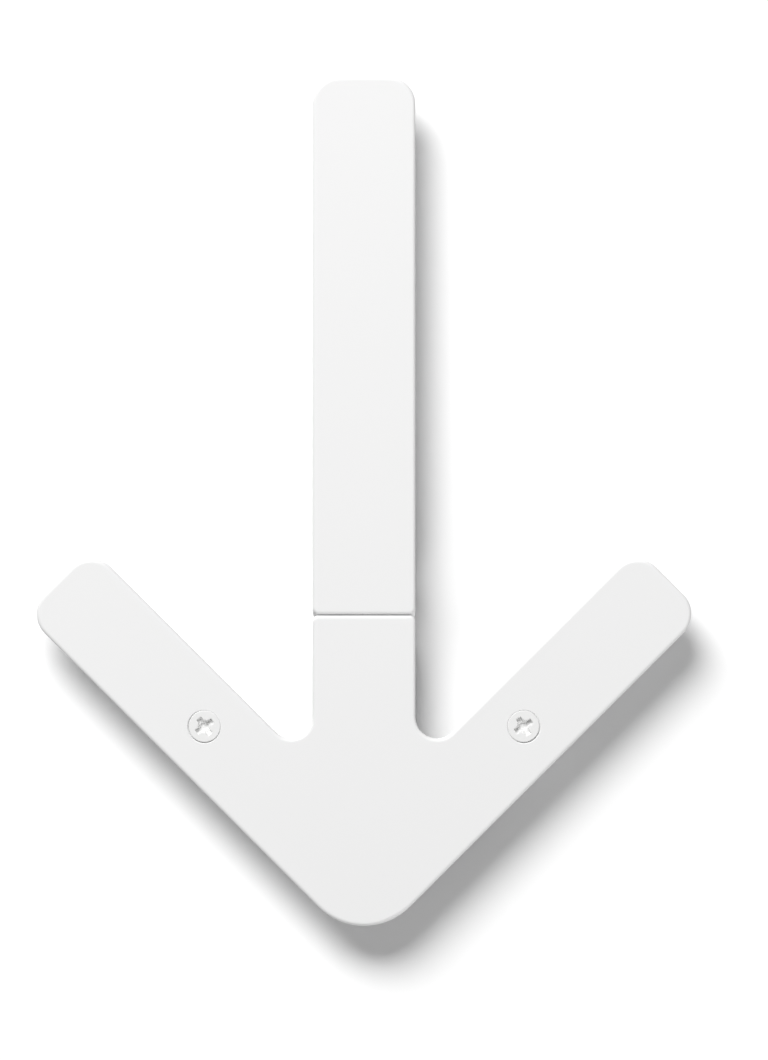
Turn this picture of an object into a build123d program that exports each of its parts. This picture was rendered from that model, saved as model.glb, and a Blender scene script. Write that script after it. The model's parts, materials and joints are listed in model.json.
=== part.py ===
"""A wall coat rack in the shape of an arrow that points down.

The arrowhead is screwed to the wall. The arrow's stem is parted by a fine seam, and the part above the
seam folds forward on a hidden pin and becomes the coat hook. A spring folds it back.

Millimetres. +X is to the right, +Y goes into the wall and +Z is up. The origin lies on the wall's
surface, midway between the two screws.
"""

import os
from math import acos, atan2, cos, degrees, hypot, radians, sin, sqrt, tan

from build123d import *

# The arrow's outline, seen from the front
arm_width = 27.0
arm_length = 139.0  # along the outer edge, from the point where the two outer edges would meet
arm_end_radius = 8.0
tip_radius = 18.8
notch_radius = 6.3  # between the stem and each arm
stem_width = 29.8
screw_spacing = 92.8
seam_height = 33.3  # the folding arm's lower front edge, above the screws
seam_gap = 0.5
hook_length = 155.3  # from the seam to the top of the arrow
hook_top_radius = 7.8
hook_top_crown = 0.5  # how far the top edge rises in its middle
hook_corner_radius = 1.6  # beside the seam
neck_corner_radius = 1.4

# The castings' section
depth = 15.0  # from the wall to the front face
edge_depth = 4.2  # of the edges that show, which stand clear of the wall
front_wall = 2.4
side_wall = 2.5
end_wall = 2.5  # the curved lower end of the folding arm
seat_wall = 2.4  # the curved end of the neck, which that end turns in
edge_radius = 1.0  # all round the front face
floor_radius = 1.2  # inside, where the front wall meets the side walls
rib_thickness = 1.8
rib_pitch = 24.0
swell_slope = 45.0  # of the side walls where they deepen towards the hinge
swell_radius = 5.0
foot_radius = 5.0  # of the foot behind the arrow's tip, which stands on the wall
foot_drop = 42.0  # below the screws

# The hinge
pivot_setback = 6.5  # behind the front face
pivot_rise = 9.0  # above the seam
open_angle = 45.0
pin_radius = 2.0
pin_end_recess = 0.4
pin_end_chamfer = 0.3
press_clearance = 0.01
running_clearance = 0.05
tail_thickness = 2.5
tail_rise = 6.0  # above the pivot
tail_corner_radius = 3.0
ear_thickness = 4.0
ear_clearance = 0.4  # inside the folding arm's front wall
ear_foot = 10.0  # the height of an ear where it stands on the tail
stop_clearance = 0.1
heel_clearance = 0.5  # between the folding arm and the wall
washer_thickness = 0.6
washer_clearance = 0.1

# The torsion spring
wire_radius = 0.6
spring_turns = 8
coil_clearance = 0.4  # round the pin
coil_end_clearance = 0.8  # beside each ear
leg_clearance = 0.1
arm_leg_length = 5.5
tail_leg_length = 6.5

# The screws
head_radius = 4.5
head_proud = 0.25
head_land = 0.3  # the straight rim between the flat top and the cone
head_chamfer = 0.3
shank_radius = 1.6
thread_radius = 2.25
screw_length = 40.0
screw_tip_length = 5.0
screw_tip_radius = 0.3
thread_start = 1.0  # behind the wall's surface
countersink_clearance = 0.45  # round the head, at the front face
hole_radius = 2.5
boss_radius = 6.5
recess_wing = 2.8  # from the screw's axis to the end of a wing of the cross recess
recess_width = 1.25
recess_depth = 2.1
recess_taper = 8.0
recess_angle = 35.0

# The rubber bumper
bumper_radius = 3.5
bumper_chamfer = 0.7
bumper_proud = 1.6  # out of its socket, as far as the wall
bumper_sunk = 1.9
bumper_clearance = 0.05
bumper_wall = 1.5
bumper_from_top = 22.0

# Places that follow from the sizes above
DIAGONAL = 1 / sqrt(2)
EXTRA = 5.0  # how far a cutting shape runs past what it cuts
front = -depth
edge_back = front + edge_depth
vertex_height = -(screw_spacing / 2 + arm_width * DIAGONAL)
pivot = (front + pivot_setback, seam_height + pivot_rise)
tail_foot = seam_height - pivot_rise
hook_top = seam_height + hook_length
arc_radius = hypot(pivot_setback, pivot_rise)
seat_radius = hypot(pivot_setback, pivot_rise + seam_gap)
inner_half = stem_width / 2 - side_wall
ear_outer = inner_half - washer_thickness - 2 * washer_clearance
ear_inner = ear_outer - ear_thickness
ear_radius = pivot_setback - front_wall - ear_clearance
washer_radius = pivot_setback - front_wall - floor_radius
stop_direction = 180.0 - open_angle
stop_distance = -pivot[0] - tail_thickness - stop_clearance
heel_distance = -pivot[0] - heel_clearance
coil_radius = pin_radius + coil_clearance + wire_radius


def about_pivot(radius, angle):
    """A point (y, z) round the pivot, by its angle below the direction straight out of the wall."""
    return (pivot[0] - radius * cos(radians(angle)), pivot[1] - radius * sin(radians(angle)))


def across(outline, half_width):
    """A side view (y, z) made solid, as far to the left as to the right."""
    return extrude(Plane.YZ * outline, half_width, both=True)


def through(outline, start, end):
    """A front view (x, z) made solid between two distances in front of the wall."""
    return Plane.XZ.offset(start) * extrude(outline, end - start)


def pivot_cylinder(radius, half_width):
    """A cylinder across the arrow, on the pivot."""
    return across(Pos(*pivot) * Circle(radius), half_width)


def post(radius, start):
    """A round post behind a casting's front wall, which ends at a distance in front of the wall."""
    return through(Circle(radius), start, depth - front_wall / 2)


def eased(outline, corners):
    """A side view with some of its corners rounded where a side wall swells towards the hinge."""
    return fillet([outline.vertices().sort_by_distance(corner)[0] for corner in corners], swell_radius)


def swell_end(start):
    """Where a sloping line up from a point (y, z) reaches the back of the edges that show."""
    return (edge_back, start[1] + (start[0] - edge_back) / tan(radians(swell_slope)))


def arm_point(side, along, over):
    """A point (x, z) on an arm: along from where the outer edges meet, and over from its outer edge."""
    return (side * (along - over) * DIAGONAL, vertex_height + (along + over) * DIAGONAL)


def arrowhead_outline(inset, top):
    """The arrowhead from the front, drawn in from its edges by an inset, with its neck cut off level."""
    far = arm_length - inset
    near = arm_width - inset
    neck = stem_width / 2 - inset
    notch = (neck, vertex_height + neck + 2 * near * DIAGONAL)
    right = [(neck, top), notch, arm_point(1, far, near), arm_point(1, far, inset)]
    radii = [0, notch_radius + inset, arm_end_radius - inset, arm_end_radius - inset]
    left = [(-x, z) for x, z in reversed(right)]
    tip = arm_point(1, inset, inset)
    outline = FilletPolyline(
        *right, tip, *left, radius=[*radii, tip_radius - inset, *reversed(radii)], close=True
    )
    return make_face(outline)


def hook_outline(inset, bottom):
    """The folding arm from the front, drawn in from its edges by an inset, with a slightly crowned top."""
    half = stem_width / 2 - inset
    top = hook_top - inset
    shoulder = top - hook_top_crown
    sides = Polyline((-half, shoulder), (-half, bottom), (half, bottom), (half, shoulder))
    face = make_face(sides + ThreePointArc((half, shoulder), (0, top), (-half, shoulder)))
    return fillet(face.vertices().group_by(Axis.Y)[-1], hook_top_radius - inset)


def rounded_floor(cavity):
    """Round the edges of a cavity where it meets the casting's front wall."""
    return fillet(cavity.faces().sort_by(Axis.Y)[0].edges(), floor_radius)


def rounded_front(casting, end_radius, corner_radius):
    """Round a casting's two corners along its curved end, and then all the edges of its front face."""
    corners = [e for e in casting.edges().filter_by(GeomType.CIRCLE) if abs(e.radius - end_radius) < 0.001]
    casting = fillet(corners, corner_radius)
    return fillet(casting.faces().sort_by(Axis.Y)[0].edges(), edge_radius)


def rib(start, end):
    """A straight rib inside a casting, from the front wall towards the back."""
    length = hypot(end[0] - start[0], end[1] - start[1])
    turn = degrees(atan2(end[1] - start[1], end[0] - start[0]))
    middle = ((start[0] + end[0]) / 2, (start[1] + end[1]) / 2)
    outline = Pos(*middle) * Rot(0, 0, turn) * Rectangle(length, rib_thickness)
    return through(outline, depth - edge_depth, depth)


def arrowhead_ribs():
    """One rib along each arm, others across it, one up the middle of the neck and two across the neck."""
    screw_along = (screw_spacing / 2 + arm_width * DIAGONAL) / DIAGONAL - arm_width / 2
    middle = arm_width / 2
    ribs = rib((0, vertex_height), (0, seam_height))
    for side in (-1, 1):
        ribs += rib(arm_point(side, middle, middle), arm_point(side, arm_length, middle))
        for step in (-1, 1, 2):
            along = screw_along + step * rib_pitch
            ribs += rib(arm_point(side, along, 0), arm_point(side, along, arm_width))
    for height in (seam_height - rib_pitch, seam_height - 2 * rib_pitch):
        ribs += rib((-stem_width / 2, height), (stem_width / 2, height))
    return ribs


def screw_hole():
    """The countersunk hole for a wall screw, and the clearance hole behind it."""
    mouth = head_radius + countersink_clearance
    profile = Polyline(
        (0, depth + EXTRA),
        (mouth + EXTRA, depth + EXTRA),
        (hole_radius, depth - (mouth - hole_radius)),
        (hole_radius, -EXTRA),
        (0, -EXTRA),
        close=True,
    )
    return Rot(90, 0, 0) * revolve(Plane.XZ * make_face(profile), Axis.Z)


def hinge_ear(side):
    """One of the two ears on the tail, which carry the pin from behind."""
    boss = Pos(*pivot) * CenterArc((0, 0), ear_radius, 0, 360)
    foot = Pos(-tail_thickness / 2, pivot[1]) * Line((0, -ear_foot / 2), (0, ear_foot / 2))
    ear = extrude(Plane.YZ * make_hull(boss.edges() + foot.edges()), ear_thickness)
    return Pos(ear_inner if side > 0 else -ear_outer, 0, 0) * ear


def neck_side_view():
    """The neck from the side: behind its edge it swells back to the wall, where it carries the hinge."""
    heel = (0, tail_foot - swell_radius / 2)
    neck_foot = (edge_back, 2 * heel[1] - swell_end(heel)[1])
    outline = Polyline(
        (front, pivot[1]), (0, pivot[1]), heel, neck_foot, (front, neck_foot[1]), close=True
    )
    return eased(make_face(outline), [heel, neck_foot])


def arrowhead_plate():
    """The fixed casting: two arms and a neck, ribbed behind, with the hinge's tail and ears."""
    blank = through(arrowhead_outline(0, pivot[1]), depth - edge_depth, depth)
    blank += across(neck_side_view(), stem_width / 2)
    blank -= pivot_cylinder(seat_radius, stem_width)
    blank = rounded_front(blank, seat_radius, neck_corner_radius)
    cavity = rounded_floor(through(arrowhead_outline(side_wall, pivot[1]), -EXTRA, depth - front_wall))
    cavity -= pivot_cylinder(seat_radius + seat_wall, stem_width)
    ribs = arrowhead_ribs() + across(neck_side_view(), rib_thickness / 2)
    ribs -= pivot_cylinder(seat_radius, stem_width)
    tail_height = pivot[1] + tail_rise - tail_foot
    tail = Pos(0, tail_foot + tail_height / 2) * Rectangle(2 * ear_outer, tail_height)
    tail = fillet(tail.vertices().group_by(Axis.Y)[-1], tail_corner_radius)
    casting = blank - cavity
    casting += ribs & through(arrowhead_outline(side_wall / 2, pivot[1]), 0, depth - front_wall / 2)
    casting += through(tail, 0, tail_thickness)
    casting += Pos(0, 0, -foot_drop) * post(foot_radius, 0)
    for side in (-1, 1):
        place = Pos(side * screw_spacing / 2, 0, 0)
        casting += place * post(boss_radius, 0)
        casting -= place * screw_hole()
        casting += hinge_ear(side)
    return casting - pivot_cylinder(pin_radius + running_clearance, stem_width)


def hook_side_view():
    """The folding arm from the side: its lower end is round about the pivot, and its heel is cut back.

    Above the heel a slope leads out to the back of the arm's edge.
    """
    arc_start = degrees(atan2(pivot_rise, pivot_setback))
    arc_end = stop_direction - degrees(acos(heel_distance / arc_radius))
    heel_end = 180 + swell_slope
    slope_end = swell_end(about_pivot(heel_distance, heel_end))
    end = ThreePointArc(
        about_pivot(arc_radius, arc_start),
        about_pivot(arc_radius, (arc_start + arc_end) / 2),
        about_pivot(arc_radius, arc_end),
    )
    flat = Line(about_pivot(arc_radius, arc_end), about_pivot(heel_distance, stop_direction))
    heel = ThreePointArc(
        about_pivot(heel_distance, stop_direction),
        about_pivot(heel_distance, (stop_direction + heel_end) / 2),
        about_pivot(heel_distance, heel_end),
    )
    rest = Polyline(
        about_pivot(heel_distance, heel_end),
        slope_end,
        (edge_back, hook_top + EXTRA),
        (front, hook_top + EXTRA),
        about_pivot(arc_radius, arc_start),
    )
    return eased(make_face(end + flat + heel + rest), [slope_end])


def stop_cut():
    """What is taken off between the cheeks, so that the end wall lands flat on the tail when it is open."""
    direction = (0, -cos(radians(stop_direction)), -sin(radians(stop_direction)))
    start = about_pivot(stop_distance, stop_direction)
    plane = Plane((0, *start), x_dir=(1, 0, 0), z_dir=direction)
    return plane * Box(2 * inner_half, 4 * depth, depth, align=(Align.CENTER, Align.CENTER, Align.MIN))


def hook_ribs():
    """A rib along the folding arm, and ribs across it, clear of the hinge."""
    first = pivot[1] + tail_rise + rib_pitch / 4
    count = int((hook_top - first) / rib_pitch) + 1
    ribs = rib((0, first), (0, hook_top - side_wall / 2))
    for step in range(count):
        height = first + step * rib_pitch
        ribs += rib((-stem_width / 2, height), (stem_width / 2, height))
    return ribs


def hook_arm():
    """The folding casting: the arrow's stem above the seam, hollow behind, with two cheeks for the pin."""
    bottom = pivot[1] - 2 * arc_radius
    blank = through(hook_outline(0, bottom), 0, depth)
    blank &= across(hook_side_view(), stem_width)
    blank = rounded_front(blank, arc_radius, hook_corner_radius)
    cavity = rounded_floor(through(hook_outline(side_wall, bottom), -EXTRA, depth - front_wall))
    end = Pos(0, 0, pivot[1]) * Box(
        stem_width, 4 * depth, 2 * arc_radius, align=(Align.CENTER, Align.CENTER, Align.MAX)
    )
    cavity -= end - pivot_cylinder(arc_radius - end_wall, stem_width)
    casting = blank - cavity - stop_cut()
    inside = through(hook_outline(side_wall / 2, pivot[1]), heel_clearance, depth - front_wall / 2)
    casting += hook_ribs() & inside
    bumper_place = Pos(0, 0, hook_top - bumper_from_top)
    casting += bumper_place * post(bumper_radius + bumper_clearance + bumper_wall, bumper_proud)
    socket = Circle(bumper_radius + bumper_clearance)
    casting -= bumper_place * through(socket, 0, bumper_proud + bumper_sunk)
    return casting - pivot_cylinder(pin_radius + press_clearance, stem_width)


def hinge_pin():
    """The steel pin, pressed into the cheeks and a little shorter than the arm is wide."""
    pin = pivot_cylinder(pin_radius, stem_width / 2 - pin_end_recess)
    return chamfer(pin.edges().filter_by(GeomType.CIRCLE), pin_end_chamfer)


def thrust_washer(side):
    """A plastic washer between an ear and the cheek beside it."""
    ring = Circle(washer_radius) - Circle(pin_radius + running_clearance)
    washer = extrude(Plane.YZ * Pos(*pivot) * ring, washer_thickness)
    start = ear_outer + washer_clearance
    return Pos(start if side > 0 else -start - washer_thickness, 0, 0) * washer


def leg_angle(length, reach):
    """How far round the coil a leg starts, so that its end comes as far out from the pivot as it should."""
    return degrees(atan2(length, coil_radius) - acos(reach / hypot(coil_radius, length)))


def torsion_spring():
    """A coil on the pin. One leg pushes the arm's front wall forward, the other leans on the tail."""
    slack = wire_radius + leg_clearance
    start = leg_angle(arm_leg_length, pivot_setback - front_wall - slack)
    end = 180.0 - leg_angle(tail_leg_length, -pivot[0] - tail_thickness - slack)
    turns = spring_turns + (end - start) / 360
    height = 2 * (ear_inner - coil_end_clearance - wire_radius)
    path = Rot(0, 0, start) * Helix(height / turns, height, coil_radius)
    first = Plane(path @ 0, z_dir=path % 0)
    last = Plane(path @ 1, z_dir=path % 1)
    spring = sweep(first * Circle(wire_radius), path=path, is_frenet=True)
    spring += extrude(first * Circle(wire_radius), -arm_leg_length)
    spring += extrude(last * Circle(wire_radius), tail_leg_length)
    hinge = Plane((height / 2, *pivot), x_dir=(0, -1, 0), z_dir=(-1, 0, 0))
    return hinge * spring


def wall_screw():
    """A countersunk wood screw with a cross recess; its thread is drawn as the cylinder that it fills."""
    top = depth + head_proud
    rim = top - head_chamfer
    cone = rim - head_land
    neck = cone - (head_radius - shank_radius)
    tip = top - screw_length
    profile = Polyline(
        (0, top),
        (head_radius - head_chamfer, top),
        (head_radius, rim),
        (head_radius, cone),
        (shank_radius, neck),
        (shank_radius, -thread_start),
        (thread_radius, -thread_start),
        (thread_radius, tip + screw_tip_length),
        (screw_tip_radius, tip),
        (0, tip),
        close=True,
    )
    screw = Rot(90, 0, 0) * revolve(Plane.XZ * make_face(profile), Axis.Z)
    wing = Rectangle(2 * recess_wing, recess_width)
    cross = Rot(0, 0, recess_angle) * (wing + Rot(0, 0, 90) * wing)
    recess = extrude(cross, -recess_depth, taper=recess_taper)
    return screw - Plane.XZ.offset(top) * recess


def wall_bumper():
    """The rubber button in the top of the folding arm, which lands on the wall."""
    button = through(Circle(bumper_radius), 0, bumper_proud + bumper_sunk)
    button = chamfer(button.faces().sort_by(Axis.Y)[-1].edges(), bumper_chamfer)
    return Pos(0, 0, hook_top - bumper_from_top) * button


parts = {
    "arrowhead_plate": arrowhead_plate(),
    "hook_arm": hook_arm(),
    "hinge_pin": hinge_pin(),
    "torsion_spring": torsion_spring(),
    "thrust_washer_left": thrust_washer(-1),
    "thrust_washer_right": thrust_washer(1),
    "wall_bumper": wall_bumper(),
    "wall_screw_left": Pos(-screw_spacing / 2, 0, 0) * wall_screw(),
    "wall_screw_right": Pos(screw_spacing / 2, 0, 0) * wall_screw(),
}

os.makedirs("parts", exist_ok=True)
for name, solid in parts.items():
    export_step(solid, f"parts/{name}.step")
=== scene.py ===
"""The looks of a wall coat rack: a white arrow whose stem folds out of the wall as a coat hook.

Metres, in the rack's own frame: +X to the right, +Y into the wall, +Z up, the origin midway between the
two screws on the wall's surface.
"""

import json
from math import acos, atan2, ceil, cos, hypot, pi, radians, sin, tau

import bpy
from mathutils import Matrix, Vector


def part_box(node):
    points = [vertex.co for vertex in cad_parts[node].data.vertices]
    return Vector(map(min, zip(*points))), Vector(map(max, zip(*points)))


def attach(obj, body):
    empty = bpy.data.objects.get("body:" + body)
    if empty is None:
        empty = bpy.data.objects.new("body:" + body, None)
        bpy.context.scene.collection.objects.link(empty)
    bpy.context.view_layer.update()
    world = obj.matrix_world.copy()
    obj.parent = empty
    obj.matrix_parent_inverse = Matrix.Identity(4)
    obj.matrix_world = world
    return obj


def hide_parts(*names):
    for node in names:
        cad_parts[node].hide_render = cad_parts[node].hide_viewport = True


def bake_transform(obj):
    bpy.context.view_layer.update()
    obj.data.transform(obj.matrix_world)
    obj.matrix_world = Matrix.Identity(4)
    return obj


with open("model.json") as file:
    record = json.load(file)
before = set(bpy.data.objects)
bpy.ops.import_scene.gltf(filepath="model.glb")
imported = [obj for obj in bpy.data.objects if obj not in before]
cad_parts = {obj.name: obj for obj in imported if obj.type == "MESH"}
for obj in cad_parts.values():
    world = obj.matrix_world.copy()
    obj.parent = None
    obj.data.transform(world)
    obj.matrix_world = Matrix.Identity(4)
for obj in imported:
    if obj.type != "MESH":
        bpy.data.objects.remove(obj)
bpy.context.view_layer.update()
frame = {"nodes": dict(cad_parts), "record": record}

# The camera
# It stands straight in front of the wall with a long lens, level with the middle of the arrow and a
# little to its right, so that the arms' side walls hardly show.
front_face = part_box("arrowhead_plate")[0].y
picture_height = 1060  # pixels
pixel_size = 0.00029  # on the front face
aim_x = 0.0058
aim_z = 0.0571
camera_distance = 1.9  # from the front face
camera_place = (aim_x, front_face - camera_distance, aim_z)
upright = (pi / 2, 0, 0)  # a quarter turn, which stands a level thing up

bpy.ops.object.camera_add(location=camera_place, rotation=upright)
camera = bpy.context.object
camera.name = "camera"
camera.data.lens = camera.data.sensor_width * camera_distance / (picture_height * pixel_size)
bpy.context.scene.camera = camera
bpy.context.scene.view_settings.view_transform = "Standard"

# The wall
# A plain white painted wall that the rack is screwed to. It takes the rack's shadow, and it can be seen
# through from behind, so that the rack's back shows.
wall_width = 0.7
wall_behind = 0.0002  # clear of the rack's feet
wall_bounce = (0.6, 0.6, 0.6, 1)  # the light that it gives back to the rack
wall_seen = (1.14, 1.14, 1.14, 1)  # whiter to the camera, so that only the shadow falls short of white
first_bounce = 0.5  # a surface reached with fewer bounces than this is seen straight from the camera
mix_mask = 0  # the sockets of a mix node, by number because its names repeat
mix_colors = (6, 7)
mix_color = 2


def add_node(tree, kind, inputs=None, **settings):
    """Add a shader node, and set its own settings and the values of its inputs."""
    node = tree.nodes.new(kind)
    for name, value in settings.items():
        setattr(node, name, value)
    for name, value in (inputs or {}).items():
        node.inputs[name].default_value = value
    return node


def new_material(name):
    """A material with an empty node tree and its output node."""
    material = bpy.data.materials.new(name)
    material.use_nodes = True
    tree = material.node_tree
    tree.nodes.clear()
    return material, tree, add_node(tree, "ShaderNodeOutputMaterial")


def feed(tree, socket, value):
    """Give an input what another node puts out, or a plain value."""
    if isinstance(value, bpy.types.NodeSocket):
        tree.links.new(value, socket)
    else:
        socket.default_value = value


def mixed_colors(tree, mask, first, second):
    """A colour that goes from the first to the second as the mask goes from 0 to 1."""
    mix = add_node(tree, "ShaderNodeMix", data_type="RGBA")
    tree.links.new(mask, mix.inputs[mix_mask])
    for socket, color in zip(mix_colors, (first, second)):
        feed(tree, mix.inputs[socket], color)
    return mix.outputs[mix_color]


def combined(tree, operation, first, second):
    """Two values put together by an operation, such as the larger one or the product."""
    math = add_node(tree, "ShaderNodeMath", operation=operation)
    feed(tree, math.inputs[0], first)
    feed(tree, math.inputs[1], second)
    return math.outputs[0]


def wall_paint():
    """Matt white paint on the wall's front, and nothing on its back.

    The back lamp shines through it on what the camera sees, but not on into the rack's shadow.
    """
    material, tree, output = new_material("wall_paint")
    link = tree.links.new
    path = add_node(tree, "ShaderNodeLightPath")
    paint = add_node(tree, "ShaderNodeBsdfDiffuse")
    link(mixed_colors(tree, path.outputs["Is Camera Ray"], wall_bounce, wall_seen), paint.inputs["Color"])
    straight = combined(tree, "LESS_THAN", path.outputs["Diffuse Depth"], first_bounce)
    lamplight = combined(tree, "MULTIPLY", path.outputs["Is Shadow Ray"], straight)
    side = add_node(tree, "ShaderNodeNewGeometry")
    clear = combined(tree, "MAXIMUM", side.outputs["Backfacing"], lamplight)
    both = add_node(tree, "ShaderNodeMixShader")
    link(clear, both.inputs["Fac"])
    link(paint.outputs[0], both.inputs[1])
    link(add_node(tree, "ShaderNodeBsdfTransparent").outputs[0], both.inputs[2])
    link(both.outputs[0], output.inputs["Surface"])
    return material


bpy.ops.object.select_all(action="DESELECT")
bpy.ops.mesh.primitive_plane_add(size=wall_width, location=(0, wall_behind, aim_z), rotation=upright)
wall = bpy.context.object
wall.name = "wall"
wall.visible_glossy = False
wall.data.materials.append(wall_paint())

# The light
# A large soft lamp stands above the rack and a little to the left, and gives the shadow on the wall. A
# weaker one low on the right and a pale room fill it in, and a last one lights the rack's open back.
lamp_height = 1.9  # in front of the wall
lamp_left = 0.42 * lamp_height
lamp_up = 0.96 * lamp_height
lamp_width = 1.08 * lamp_height
lamp_length = 0.72 * lamp_height
lamp_power = 84.6
fill_distance = 2.4  # from the rack
fill_direction = Vector((0.5, -0.29, -0.82))  # to the rack's lower right
fill_size = 1.5
fill_power = 24.0
back_lamp_distance = 1.8
back_lamp_direction = Vector((-0.6, 1, 0.6))  # behind the wall, up and to the left
back_lamp_size = 1.8
back_lamp_power = 38.0
room_light = 0.16
room_seen = 1.0
room_color = (1, 1, 1, 1)
lamp_target = Vector((0, 0, aim_z))


def soft_lamp(name, place, width, length, power):
    """A round or oval area lamp that faces the rack and isn't seen itself."""
    bpy.ops.object.light_add(type="AREA", location=place)
    lamp = bpy.context.object
    lamp.name = name
    lamp.rotation_euler = (lamp_target - Vector(place)).to_track_quat("-Z", "Y").to_euler()
    lamp.data.shape = "ELLIPSE"
    lamp.data.size = width
    lamp.data.size_y = length
    lamp.data.energy = power
    lamp.visible_camera = False


def in_range(tree, value, low, high, start=0.0, end=1.0):
    """A number that goes from low to high as a value goes from its start to its end."""
    reach = add_node(tree, "ShaderNodeMapRange", {"From Min": start, "From Max": end})
    reach.inputs["To Min"].default_value = low
    reach.inputs["To Max"].default_value = high
    tree.links.new(value, reach.inputs["Value"])
    return reach.outputs["Result"]


def pale_room():
    """A plain pale room: white where it is seen or mirrored, and dimmer as a light."""
    world = bpy.data.worlds.new("pale_room")
    world.use_nodes = True
    tree = world.node_tree
    tree.nodes.clear()
    path = add_node(tree, "ShaderNodeLightPath")
    seen = combined(tree, "MAXIMUM", path.outputs["Is Camera Ray"], path.outputs["Is Glossy Ray"])
    seen = combined(tree, "MAXIMUM", seen, path.outputs["Is Transmission Ray"])
    background = add_node(tree, "ShaderNodeBackground", {"Color": room_color})
    tree.links.new(in_range(tree, seen, room_light, room_seen), background.inputs["Strength"])
    tree.links.new(background.outputs[0], add_node(tree, "ShaderNodeOutputWorld").inputs["Surface"])
    return world


soft_lamp("lamp", (-lamp_left, -lamp_height, aim_z + lamp_up), lamp_width, lamp_length, lamp_power)
fill_place = lamp_target + fill_distance * fill_direction
soft_lamp("fill_lamp", fill_place, fill_size, fill_size, fill_power)
back_place = lamp_target + back_lamp_distance * back_lamp_direction
soft_lamp("back_lamp", back_place, back_lamp_size, back_lamp_size, back_lamp_power)
bpy.context.scene.world = pale_room()

# The arrowhead
# One aluminium casting: two arms, the short neck and a flat tail with two hinge ears. It stands on the
# wall by two screw posts, a foot and the tail, and it is powder-coated in a satin white all over. Beside
# the seam its rounded edge stands a little higher than the solid's.
coat_white = (0.885, 0.885, 0.884, 1)
coat_cloud = (0.873, 0.873, 0.872, 1)
# Greyer on the floor of the back hollow: partly a thinner coat there, partly painted shade of the hollow.
thin_coat_and_shade = (0.77, 0.775, 0.78, 1)
coat_roughness = (0.42, 0.48)
mix_numbers = (2, 3)  # the sockets of a mix node for plain numbers
coat_clouds = (45.0, 3.0)  # patches to a metre, and their detail, as for every pattern below
peel_size = 0.0011
peel_detail = 2.0
peel_depth = 0.000006
grain_size = 0.00025
grain_detail = 1.0
grain_share = 0.3  # of the relief, beside the peel
thin_and_shaded_slope = (0.1, 0.7)  # the coat is thinner, and greyer with painted shade, as a face looks more to the wall, from the first to the second
thin_and_shaded_depth = (-0.0085, -0.012)  # and as it lies farther from the wall, on the floor of the back hollow
same_place = 0.000001  # corners closer than this are one
seam_straight = 0.0132  # from the middle of the rack to where the edges at the seam turn a corner
seam_corner = 0.0017
seam_edge_depth = 0.0017  # of the rounded edges, behind the front face
neck_edge = (0.0311, 0.0327)  # the heights that the neck's rounded edge lies between
neck_edge_rise = 0.0003


def group_sockets(group, inputs, outputs):
    """Give a node group its named sockets, and return its input and output nodes."""
    for name, kind, value in inputs:
        socket = group.interface.new_socket(name, in_out="INPUT", socket_type=kind)
        socket.default_value = value
    for name, kind in outputs:
        group.interface.new_socket(name, in_out="OUTPUT", socket_type=kind)
    return add_node(group, "NodeGroupInput"), add_node(group, "NodeGroupOutput")


def own_place(tree):
    """The place on the piece itself, by which a pattern is laid out."""
    return add_node(tree, "ShaderNodeTexCoord").outputs["Object"]


def noise(tree, place, scale, detail):
    """A cloudy mask, with so many patches to a metre."""
    cloud = add_node(tree, "ShaderNodeTexNoise", {"Detail": detail})
    tree.links.new(place, cloud.inputs["Vector"])
    feed(tree, cloud.inputs["Scale"], scale)
    return cloud.outputs["Fac"]


def along(tree, vector, axis):
    """One of the three parts of a place or a direction."""
    parts = add_node(tree, "ShaderNodeSeparateXYZ")
    tree.links.new(vector, parts.inputs[0])
    return parts.outputs[axis]


def relief(tree, height, depth):
    """The normals of a surface with a fine relief."""
    bump = add_node(tree, "ShaderNodeBump", {"Distance": depth})
    tree.links.new(height, bump.inputs["Height"])
    return bump.outputs["Normal"]


def powder_coat_group():
    """The skin of a powder coat: orange peel with a fine grain, and a mask of the back hollow's floor,
    thinly coated and greyed with painted shade.
    """
    group = bpy.data.node_groups.new("powder_coat_skin", "ShaderNodeTree")
    given, made = group_sockets(
        group,
        [
            ("Peel Scale", "NodeSocketFloat", 1 / peel_size),
            ("Grain Scale", "NodeSocketFloat", 1 / grain_size),
        ],
        [
            ("Height", "NodeSocketFloat"),
            ("Cloud", "NodeSocketFloat"),
            ("Thin And Shaded", "NodeSocketFloat"),
        ],
    )
    place = own_place(group)
    peel = noise(group, place, given.outputs["Peel Scale"], peel_detail)
    grain = noise(group, place, given.outputs["Grain Scale"], grain_detail)
    height = add_node(group, "ShaderNodeMix", data_type="FLOAT")
    height.inputs[mix_mask].default_value = grain_share
    for socket, pattern in zip(mix_numbers, (peel, grain)):
        group.links.new(pattern, height.inputs[socket])
    group.links.new(height.outputs[0], made.inputs["Height"])
    group.links.new(noise(group, place, *coat_clouds), made.inputs["Cloud"])
    # The back hollow's floor, whose faces look to the wall and lie far from it: a thinner coat, and
    # painted shade.
    normal = add_node(group, "ShaderNodeTexCoord").outputs["Normal"]
    backward = in_range(group, along(group, normal, "Y"), 0.0, 1.0, *thin_and_shaded_slope)
    inside = in_range(group, along(group, place, "Y"), 0.0, 1.0, *thin_and_shaded_depth)
    group.links.new(combined(group, "MULTIPLY", backward, inside), made.inputs["Thin And Shaded"])
    return group


powder_coat_skin = powder_coat_group()


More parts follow.
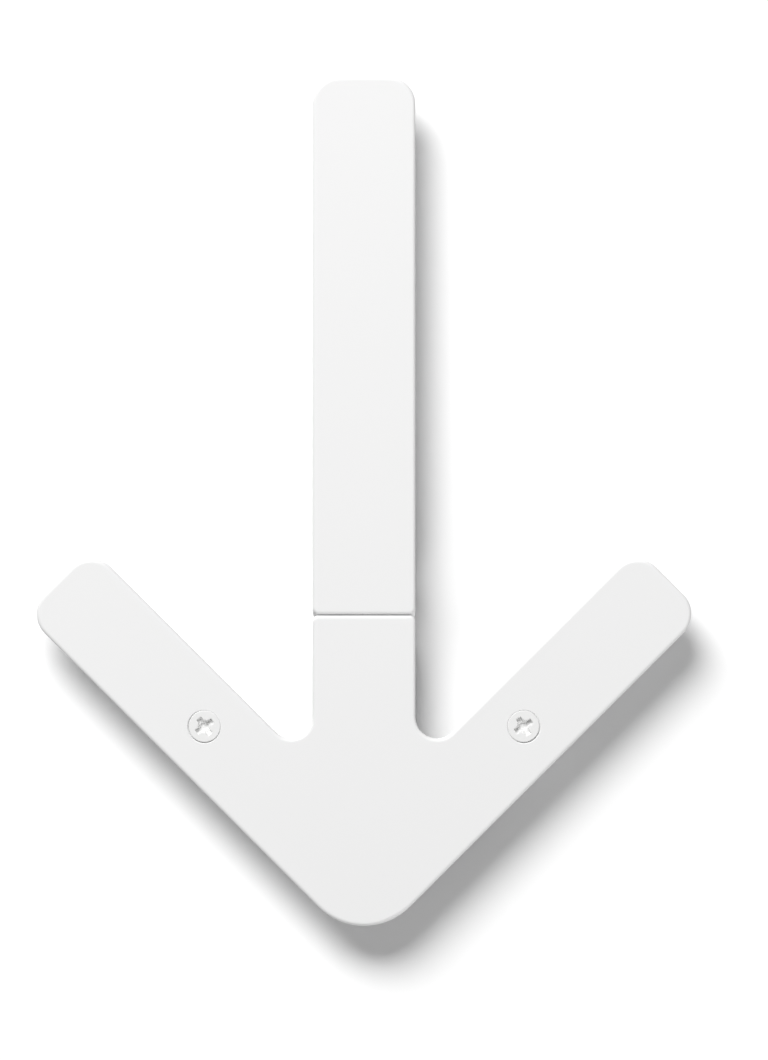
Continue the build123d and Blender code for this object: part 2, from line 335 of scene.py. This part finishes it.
def powder_coat(name):
    """Satin white powder coat on a casting."""
    material, tree, output = new_material(name)
    link = tree.links.new
    skin = add_node(tree, "ShaderNodeGroup")
    skin.node_tree = powder_coat_skin
    skin.inputs["Peel Scale"].default_value = 1 / peel_size
    skin.inputs["Grain Scale"].default_value = 1 / grain_size
    white = mixed_colors(tree, skin.outputs["Cloud"], coat_white, coat_cloud)
    paint = add_node(tree, "ShaderNodeBsdfPrincipled")
    # The back hollow's floor turns greyer here: a thinner coat, and painted shade.
    link(mixed_colors(tree, skin.outputs["Thin And Shaded"], white, thin_coat_and_shade), paint.inputs["Base Color"])
    link(in_range(tree, skin.outputs["Cloud"], *coat_roughness), paint.inputs["Roughness"])
    link(relief(tree, skin.outputs["Height"], peel_depth), paint.inputs["Normal"])
    link(paint.outputs[0], output.inputs["Surface"])
    return material


def finish_node(node, material):
    """Give a solid of the frame its finish."""
    frame["nodes"][node].material_slots[0].material = material


def edit_whole(piece):
    """Go into edit mode with a piece, and select all of it."""
    bpy.ops.object.select_all(action="DESELECT")
    bpy.context.view_layer.objects.active = piece
    piece.select_set(True)
    bpy.ops.object.mode_set(mode="EDIT")
    bpy.ops.mesh.select_all(action="SELECT")


def casting(name, node, body, edge, move):
    """A casting like its solid, but with its rounded edge at the seam moved up or down.

    The edge lies between two heights on the front. Its outer corners are moved less and less.
    """
    piece = bpy.data.objects.new(name, frame["nodes"][node].data.copy())
    bpy.context.collection.objects.link(piece)
    edit_whole(piece)
    bpy.ops.mesh.remove_doubles(threshold=same_place, use_sharp_edge_from_normals=True)
    bpy.ops.object.mode_set(mode="OBJECT")
    lowest, highest = edge
    for corner in piece.data.vertices:
        if corner.co.y < front_face + seam_edge_depth and lowest < corner.co.z < highest:
            share = 1 - max(0.0, min(1.0, (abs(corner.co.x) - seam_straight) / seam_corner))
            corner.co.z += share * move
    piece.data.materials.clear()
    piece.data.materials.append(powder_coat(name))
    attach(piece, body)
    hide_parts(node)


casting("arrowhead_casting", "arrowhead_plate", "arrowhead", neck_edge, neck_edge_rise)

# The thrust washers
# Thin rings punched from natural nylon, between each ear of the plate and the hook arm's cheek beside
# it. They keep the painted faces apart.
nylon_color = (0.84, 0.82, 0.77, 1)
nylon_dark = (0.78, 0.76, 0.70, 1)
nylon_clouds = (900.0, 3.0)
nylon_roughness = 0.38
nylon_relief = 0.00001
nylon_glow = 0.15  # the share of the light that comes out of the plastic again
nylon_glow_reach = (0.001, 0.0009, 0.0008)  # of its red, green and blue


def nylon():
    """Natural nylon: waxy, off-white and a little cloudy."""
    material, tree, output = new_material("washer_nylon")
    link = tree.links.new
    cloud = noise(tree, own_place(tree), *nylon_clouds)
    plastic = add_node(tree, "ShaderNodeBsdfPrincipled", {"Roughness": nylon_roughness})
    plastic.inputs["Subsurface Weight"].default_value = nylon_glow
    plastic.inputs["Subsurface Radius"].default_value = nylon_glow_reach
    link(mixed_colors(tree, cloud, nylon_color, nylon_dark), plastic.inputs["Base Color"])
    link(relief(tree, cloud, nylon_relief), plastic.inputs["Normal"])
    link(plastic.outputs[0], output.inputs["Surface"])
    return material


washer_nylon = nylon()
for side in ("left", "right"):
    finish_node(f"thrust_washer_{side}", washer_nylon)

# The torsion spring
# Spring steel wire, wound on the pin between the plate's ears. Its right leg pushes behind the hook
# arm's front wall, its left leg leans on the plate's tail, and so it folds the arm back to the wall.
pivot = Vector(frame["record"]["behaviour"]["joints"][0]["pos_m"])
wire_radius = 0.0006
wire_corners = 16
wire_end_reach = 1.1 * wire_radius  # from the middle of the wire's end, with all its corners in it
coil_radius = 0.0030
coil_turns = 8
coil_half = 0.0062  # from the middle of the rack to the last turn
coil_steps = 28  # to a turn
arm_leg = 0.0055
tail_leg = 0.0065
arm_leg_reach = 0.0034  # from the pivot to the end of the leg, out of the wall
tail_leg_reach = 0.0053  # the same, towards the wall
spring_smooth_angle = 50.0  # in degrees
tolerance = 0.00001
wire_colors = (0.40, 0.41, 0.43, 1), (0.27, 0.27, 0.29, 1)
wire_marks = (2600.0, 4.0)
wire_roughness = (0.24, 0.44)
wire_mark_depth = 0.000008


def leg_angle(length, reach):
    """How far round the coil a leg starts, so that its end comes as far from the pivot as it should."""
    return atan2(length, coil_radius) - acos(reach / hypot(coil_radius, length))


def select_near(mesh, test):
    """Select the corners, in edit mode, whose place passes a test."""
    bpy.ops.mesh.select_all(action="DESELECT")
    bpy.ops.object.mode_set(mode="OBJECT")
    for corner in mesh.vertices:
        corner.select = test(corner.co)
    bpy.ops.object.mode_set(mode="EDIT")


def set_down(piece, matrix):
    """Put a piece where it belongs, with its place in its mesh."""
    piece.data.transform(matrix)
    piece.data.update()


def bare_steel(tree, output, marks, colors, roughness, mark_depth):
    """Bare steel, with fine marks in its colour, its gloss and its relief."""
    link = tree.links.new
    steel = add_node(tree, "ShaderNodeBsdfPrincipled", {"Metallic": 1.0})
    link(mixed_colors(tree, marks, *colors), steel.inputs["Base Color"])
    link(in_range(tree, marks, *roughness), steel.inputs["Roughness"])
    link(relief(tree, marks, mark_depth), steel.inputs["Normal"])
    link(steel.outputs[0], output.inputs["Surface"])


def spring_wire():
    """Bright drawn steel wire, with fine die marks."""
    material, tree, output = new_material("spring_wire")
    marks = noise(tree, own_place(tree), *wire_marks)
    bare_steel(tree, output, marks, wire_colors, wire_roughness, wire_mark_depth)
    return material


def wound_spring():
    """A wire wound round +Z, from its arm leg at the bottom to its tail leg at the top."""
    start = leg_angle(arm_leg, arm_leg_reach)
    end = pi - leg_angle(tail_leg, tail_leg_reach)
    turns = coil_turns + (end - start) / tau
    bpy.ops.object.select_all(action="DESELECT")
    bpy.ops.mesh.primitive_circle_add(
        vertices=wire_corners, radius=wire_radius, location=(coil_radius, 0, 0), rotation=upright
    )
    bpy.ops.object.transform_apply(location=True, rotation=True, scale=True)
    spring = bpy.context.object
    spring.name = "spring"
    coil = spring.modifiers.new("coil", "SCREW")
    coil.axis = "Z"
    coil.angle = turns * tau
    coil.screw_offset = 2 * coil_half
    coil.steps = coil.render_steps = ceil(turns * coil_steps)
    coil.use_merge_vertices = False
    bpy.ops.object.modifier_apply(modifier=coil.name)
    set_down(spring, Matrix.Rotation(start, 4, "Z"))
    ends = [
        (start, 0.0, arm_leg, Vector((sin(start), -cos(start), 0))),
        (end, 2 * coil_half, tail_leg, Vector((-sin(end), cos(end), 0))),
    ]
    bpy.ops.object.mode_set(mode="EDIT")
    for angle, height, length, direction in ends:
        middle = Vector((coil_radius * cos(angle), coil_radius * sin(angle), height))
        select_near(
            spring.data,
            lambda place: (place - middle).length < wire_end_reach
            and abs((place - middle).dot(direction)) < tolerance,
        )
        bpy.ops.mesh.extrude_region_move(TRANSFORM_OT_translate={"value": direction * length})
        bpy.ops.mesh.edge_face_add()
    bpy.ops.mesh.select_all(action="SELECT")
    bpy.ops.mesh.normals_make_consistent(inside=False)
    bpy.ops.object.mode_set(mode="OBJECT")
    bpy.ops.object.shade_smooth_by_angle(angle=radians(spring_smooth_angle))
    return spring


spring = wound_spring()
turned_in = Matrix(((0, 0, -1, coil_half), (-1, 0, 0, pivot.y), (0, 1, 0, pivot.z), (0, 0, 0, 1)))
set_down(spring, turned_in)
spring.data.materials.append(spring_wire())
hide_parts("torsion_spring")
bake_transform(spring)

# The hinge pin
# A ground steel pin, pressed into the hook arm's two cheeks, on which the arm turns in the plate's ears.
# Its chamfered ends show a little inside the cheeks.
pin_colors = (0.60, 0.61, 0.63, 1), (0.44, 0.45, 0.47, 1)
pin_marks = (9000.0, 3.0)
pin_roughness = (0.2, 0.4)
pin_mark_depth = 0.000004


def ground_steel():
    """Ground steel, with fine rings round the pin's axis on its barrel and on its ends."""
    material, tree, output = new_material("ground_steel")
    link = tree.links.new
    centre = add_node(tree, "ShaderNodeMapping", {"Location": (0, -pivot.y, -pivot.z)})
    link(own_place(tree), centre.inputs["Vector"])
    parts = add_node(tree, "ShaderNodeSeparateXYZ")
    link(centre.outputs["Vector"], parts.inputs[0])
    across = add_node(tree, "ShaderNodeCombineXYZ")
    link(parts.outputs["Y"], across.inputs["Y"])
    link(parts.outputs["Z"], across.inputs["Z"])
    distance = add_node(tree, "ShaderNodeVectorMath", operation="LENGTH")
    link(across.outputs[0], distance.inputs[0])
    ring = add_node(tree, "ShaderNodeCombineXYZ")
    link(parts.outputs["X"], ring.inputs["X"])
    link(distance.outputs["Value"], ring.inputs["Y"])
    marks = noise(tree, ring.outputs[0], *pin_marks)
    bare_steel(tree, output, marks, pin_colors, pin_roughness, pin_mark_depth)
    return material


finish_node("hinge_pin", ground_steel())

# The hook arm
# The arrow's stem above the seam, a casting of its own in the same powder coat. Its round lower end
# turns in the neck's hollow end, on a pin behind the seam, and its edge there stands lower than the
# solid's.
arm_edge = (0.0328, 0.0340)  # the heights that the arm's rounded edge lies between
arm_edge_drop = 0.00025

casting("hook_casting", "hook_arm", "hook", arm_edge, -arm_edge_drop)

# The bumper
# A soft grey rubber button, pushed into a post behind the hook arm's top end. It lands on the wall when
# the arm folds back.
rubber_color = (0.33, 0.33, 0.33, 1)
rubber_bloom = (0.42, 0.42, 0.43, 1)
rubber_clouds = (500.0, 4.0)
rubber_grain = (6000.0, 2.0)
rubber_relief = 0.00003
rubber_roughness = 0.82
rubber_shine = 0.3


def soft_rubber():
    """Matt moulded rubber with a faint bloom."""
    material, tree, output = new_material("bumper_rubber")
    link = tree.links.new
    place = own_place(tree)
    bloom = noise(tree, place, *rubber_clouds)
    grain = noise(tree, place, *rubber_grain)
    rubber = add_node(tree, "ShaderNodeBsdfPrincipled", {"Roughness": rubber_roughness})
    rubber.inputs["Specular IOR Level"].default_value = rubber_shine
    link(mixed_colors(tree, bloom, rubber_color, rubber_bloom), rubber.inputs["Base Color"])
    link(relief(tree, grain, rubber_relief), rubber.inputs["Normal"])
    link(rubber.outputs[0], output.inputs["Surface"])
    return material


finish_node("wall_bumper", soft_rubber())

# The wall screws
# Two countersunk steel wood screws, zinc-plated, with cross-recessed heads painted white. Each goes
# through its post into the wall. Its head stands just proud of the arm's face, and lies a little up and
# inward in its hole.
screw_place = 0.0464  # from the middle of the rack
head_radius = 0.0046
head_proud = 0.00017
head_edge = 0.00012  # the round of its rim
rim_middle = 0.3  # of head_edge, from the sharp corner to the middle of its round
head_land = 0.0003
neck_length = 0.005
spare_neck = 0.0075  # as first made, so that its end can be cut off where it joins the shank
core_radius = 0.0016
thread_radius = 0.00225
thread_top = 0.01625  # below the head's top
thread_pitch = 0.002
thread_width = 0.0009  # of a thread's foot
crest_start = 0.42  # of that width
crest_end = 0.58
thread_steps = 36
spare_turns = 2  # cut off again above and below
screw_length = 0.040
tip_length = 0.005
tip_radius = 0.0003
recess_wing = 0.0029
recess_width = 0.0018
recess_depth = 0.0013
recess_narrow = 0.8  # the width of a wing at its bottom, over that at the face
recess_short = 0.97  # and its length
recess_middle = 0.0019  # the radius of the cone in the middle
recess_floor = 0.00095  # and that of its flat bottom
recess_middle_depth = 0.0019
head_turns = {"left": 36.0, "right": 33.0}  # of the cross, in degrees
head_shifts = {"left": (0.00013, 0.00016), "right": (-0.00014, 0.00016)}  # in the countersink
paint_grain = 0.0001
recess_softness = 0.0034  # the radius in which the paint fills the edges more
rim_softening = 7  # rounds
recess_softening = 16
softening = 0.5  # in each round
screw_smooth_angle = 40.0  # in degrees
paint_colors = (0.88, 0.88, 0.875, 1), (0.84, 0.84, 0.835, 1)
zinc_colors = (0.66, 0.67, 0.68, 1), (0.50, 0.51, 0.53, 1)
screw_clouds = (700.0, 4.0)
paint_end = (front_face + 0.0026, front_face + 0.0029)  # where the paint starts to end, and ends
paint_raggedness = 0.0012
paint_roughness = 0.45
zinc_roughness = 0.3
paint_relief = 0.00001


def drawn_line(points):
    """A line drawn from point to point, out of one corner of a triangle."""
    bpy.ops.object.select_all(action="DESELECT")
    bpy.ops.mesh.primitive_circle_add(vertices=3, radius=head_radius, location=(0, 0, 0))
    bpy.ops.object.mode_set(mode="EDIT")
    bpy.ops.mesh.select_all(action="SELECT")
    bpy.ops.mesh.merge(type="CENTER")
    last = Vector((0, 0, 0))
    for step, point in enumerate(points):
        move = Vector(point) - last
        if step:
            bpy.ops.mesh.extrude_region_move(TRANSFORM_OT_translate={"value": move})
        else:
            bpy.ops.transform.translate(value=move)
        last = Vector(point)
    bpy.ops.object.mode_set(mode="OBJECT")
    return bpy.context.object


def turned(profile, rise=0.0, turns=1):
    """A line swept round the Z axis, once for a lathe-turned form or many times for a thread."""
    piece = drawn_line(profile)
    sweep = piece.modifiers.new("sweep", "SCREW")
    sweep.axis = "Z"
    sweep.angle = tau
    sweep.screw_offset = rise
    sweep.iterations = turns
    sweep.steps = sweep.render_steps = thread_steps
    bpy.ops.object.modifier_apply(modifier=sweep.name)
    edit_whole(piece)
    bpy.ops.mesh.remove_doubles(threshold=tolerance)
    bpy.ops.mesh.normals_make_consistent(inside=False)
    bpy.ops.object.mode_set(mode="OBJECT")
    return piece


def recess_wing_cutter(turn):
    """A tapered blade across the head's axis that cuts two wings of the cross."""
    bpy.ops.object.select_all(action="DESELECT")
    bpy.ops.mesh.primitive_cube_add(size=2.0, location=(0, 0, 0))
    blade = bpy.context.object
    blade.scale = (recess_wing, recess_width / 2, recess_depth)
    bpy.ops.object.transform_apply(location=True, rotation=True, scale=True)
    bpy.ops.object.mode_set(mode="EDIT")
    select_near(blade.data, lambda place: place.z < 0)
    bpy.ops.transform.resize(value=(recess_short, recess_narrow, 1), center_override=(0, 0, -recess_depth))
    bpy.ops.object.mode_set(mode="OBJECT")
    blade.rotation_euler = (0, 0, turn)
    bpy.ops.object.transform_apply(location=True, rotation=True, scale=True)
    return blade


def cut_away(piece, cutter):
    """Take a cutter's shape out of a piece."""
    cut = piece.modifiers.new("cut", "BOOLEAN")
    cut.operation = "DIFFERENCE"
    cut.solver = "EXACT"
    cut.object = cutter
    bpy.context.view_layer.objects.active = piece
    bpy.ops.object.modifier_apply(modifier=cut.name)
    bpy.data.objects.remove(cutter, do_unlink=True)


def screw_head():
    """The head with its cross recess, its edges softened by the paint, open below at its neck."""
    rim = -head_edge
    cone = rim - head_land
    head = turned([
        (0, 0, 0),
        (head_radius - head_edge, 0, 0),
        (head_radius - rim_middle * head_edge, 0, rim_middle * rim),
        (head_radius, 0, rim),
        (head_radius, 0, cone),
        (core_radius, 0, cone - (head_radius - core_radius)),
        (core_radius, 0, -spare_neck),
        (0, 0, -spare_neck),
    ])
    cut_away(head, recess_wing_cutter(0))
    cut_away(head, recess_wing_cutter(pi / 2))
    cut_away(head, turned([
        (0, 0, -recess_middle_depth),
        (recess_floor, 0, -recess_middle_depth),
        (recess_middle, 0, 0),
        (recess_middle, 0, head_edge),
        (0, 0, head_edge),
    ]))
    bpy.context.view_layer.objects.active = head
    remesh = head.modifiers.new("remesh", "REMESH")
    remesh.mode = "VOXEL"
    remesh.voxel_size = paint_grain
    bpy.ops.object.modifier_apply(modifier=remesh.name)
    recess = head.vertex_groups.new(name="recess")
    for corner in head.data.vertices:
        if hypot(corner.co.x, corner.co.y) < recess_softness:
            recess.add([corner.index], 1.0, "REPLACE")
    for where, rounds in (("", rim_softening), (recess.name, recess_softening)):
        soften = head.modifiers.new("soften", "SMOOTH")
        soften.factor = softening
        soften.iterations = rounds
        soften.vertex_group = where
        bpy.ops.object.modifier_apply(modifier=soften.name)
    head.vertex_groups.clear()
    edit_whole(head)
    bpy.ops.mesh.bisect(plane_co=(0, 0, -neck_length), plane_no=(0, 0, 1), clear_inner=True)
    bpy.ops.object.mode_set(mode="OBJECT")
    return head


def screw_shank():
    """The shank with its thread, which runs out at its top and narrows at the tip, open at its top."""
    turns = ceil((screw_length - thread_top) / thread_pitch)
    plain = thread_pitch - thread_width
    shank = turned(
        [
            (core_radius, 0, 0),
            (core_radius, 0, plain / 2),
            (core_radius, 0, plain),
            (thread_radius, 0, plain + crest_start * thread_width),
            (thread_radius, 0, plain + crest_end * thread_width),
            (core_radius, 0, thread_pitch),
        ],
        rise=thread_pitch,
        turns=turns + spare_turns,
    )
    set_down(shank, Matrix.Translation((0, 0, -screw_length - thread_pitch)))
    bpy.ops.object.mode_set(mode="EDIT")
    for height, above in ((-thread_top, True), (-screw_length, False)):
        bpy.ops.mesh.select_all(action="SELECT")
        bpy.ops.mesh.bisect(
            plane_co=(0, 0, height), plane_no=(0, 0, 1), clear_outer=above, clear_inner=not above
        )
    bpy.ops.object.mode_set(mode="OBJECT")
    for corner in shank.data.vertices:
        radius = hypot(corner.co.x, corner.co.y)
        run_out = min(1.0, (-thread_top - corner.co.z) / thread_pitch)
        narrow = min(1.0, (corner.co.z + screw_length) / tip_length)
        wanted = core_radius + (radius - core_radius) * run_out
        wanted = tip_radius + (wanted - tip_radius) * narrow
        corner.co.x *= wanted / radius
        corner.co.y *= wanted / radius
    bpy.ops.object.mode_set(mode="EDIT")
    select_near(shank.data, lambda place: place.z < tolerance - screw_length)
    bpy.ops.mesh.edge_face_add()
    bpy.ops.object.mode_set(mode="OBJECT")
    return shank


def screw_finish():
    """White paint on the head, with a ragged end, and bright zinc plate behind it."""
    material, tree, output = new_material("screw_finish")
    link = tree.links.new
    place = own_place(tree)
    cloud = noise(tree, place, *screw_clouds)
    ragged = combined(tree, "MULTIPLY", cloud, paint_raggedness)
    ragged = combined(tree, "ADD", ragged, along(tree, place, "Y"))
    bare = in_range(tree, ragged, 0.0, 1.0, *paint_end)
    paint = mixed_colors(tree, cloud, *paint_colors)
    zinc = mixed_colors(tree, cloud, *zinc_colors)
    surface = add_node(tree, "ShaderNodeBsdfPrincipled")
    link(mixed_colors(tree, bare, paint, zinc), surface.inputs["Base Color"])
    link(bare, surface.inputs["Metallic"])
    link(in_range(tree, bare, paint_roughness, zinc_roughness), surface.inputs["Roughness"])
    link(relief(tree, cloud, paint_relief), surface.inputs["Normal"])
    link(surface.outputs[0], output.inputs["Surface"])
    return material


def wall_screw():
    """A whole screw about +Z, with the top of its head at the origin."""
    head = screw_head()
    shank = screw_shank()
    bpy.ops.object.select_all(action="DESELECT")
    head.select_set(True)
    shank.select_set(True)
    bpy.context.view_layer.objects.active = head
    bpy.ops.object.join()
    bpy.ops.object.mode_set(mode="EDIT")
    bpy.ops.mesh.select_all(action="DESELECT")
    bpy.ops.mesh.select_mode(type="EDGE")
    bpy.ops.mesh.select_non_manifold(extend=False)
    bpy.ops.mesh.bridge_edge_loops()
    bpy.ops.mesh.select_mode(type="VERT")
    bpy.ops.mesh.select_all(action="SELECT")
    bpy.ops.mesh.normals_make_consistent(inside=False)
    bpy.ops.object.mode_set(mode="OBJECT")
    bpy.ops.object.shade_smooth_by_angle(angle=radians(screw_smooth_angle))
    return head


first_screw = wall_screw()
first_screw.data.materials.append(screw_finish())
for side, place in (("left", -screw_place), ("right", screw_place)):
    screw = bpy.data.objects.new(f"screw_{side}", first_screw.data.copy())
    bpy.context.collection.objects.link(screw)
    into_wall = Matrix.Rotation(pi / 2, 4, "X") @ Matrix.Rotation(radians(head_turns[side]), 4, "Z")
    aside, upward = head_shifts[side]
    set_down(screw, Matrix.Translation((place + aside, front_face - head_proud, upward)) @ into_wall)
    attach(screw, "arrowhead")
    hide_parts(f"wall_screw_{side}")
bpy.data.objects.remove(first_screw, do_unlink=True)
